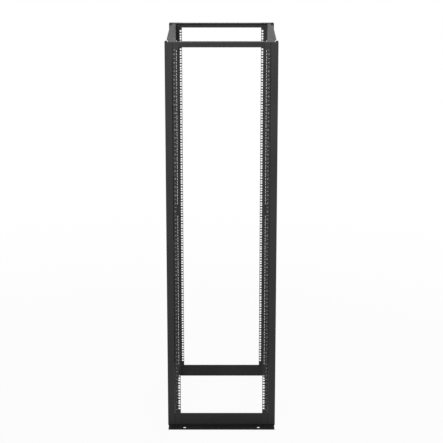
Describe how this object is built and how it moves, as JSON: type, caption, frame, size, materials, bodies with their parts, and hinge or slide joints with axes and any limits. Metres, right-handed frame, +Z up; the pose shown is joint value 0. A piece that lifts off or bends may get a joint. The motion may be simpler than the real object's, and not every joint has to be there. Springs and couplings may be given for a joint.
{
  "type": "four post open frame equipment rack",
  "caption": "Tall open steel frame on four posts with square-holed mounting faces, top bars, side rails and floor flanges for bolting down.",
  "frame": {"origin": "floor level, midway between the four posts", "axes": "+X across the front to the right, +Y from the front to the rear, +Z up"},
  "size_m": [0.592, 0.894, 2.1336],
  "materials": {
    "black_paint": "fine satin black powder coat"
  },
  "bodies": {
    "root": {"front_left_post": "black_paint", "front_right_post": "black_paint", "rear_left_post": "black_paint", "rear_right_post": "black_paint", "front_top_bar": "black_paint", "rear_top_bar": "black_paint", "front_base_angle": "black_paint", "rear_base_angle": "black_paint", "left_top_side_rail": "black_paint", "right_top_side_rail": "black_paint", "left_bottom_side_rail": "black_paint", "right_bottom_side_rail": "black_paint", "front_left_equipment_rail": "black_paint", "front_right_equipment_rail": "black_paint", "rear_left_equipment_rail": "black_paint", "rear_right_equipment_rail": "black_paint", "front_left_tie_plate": "black_paint", "front_right_tie_plate": "black_paint", "rear_left_tie_plate": "black_paint", "rear_right_tie_plate": "black_paint"}
  },
  "joints": []
}
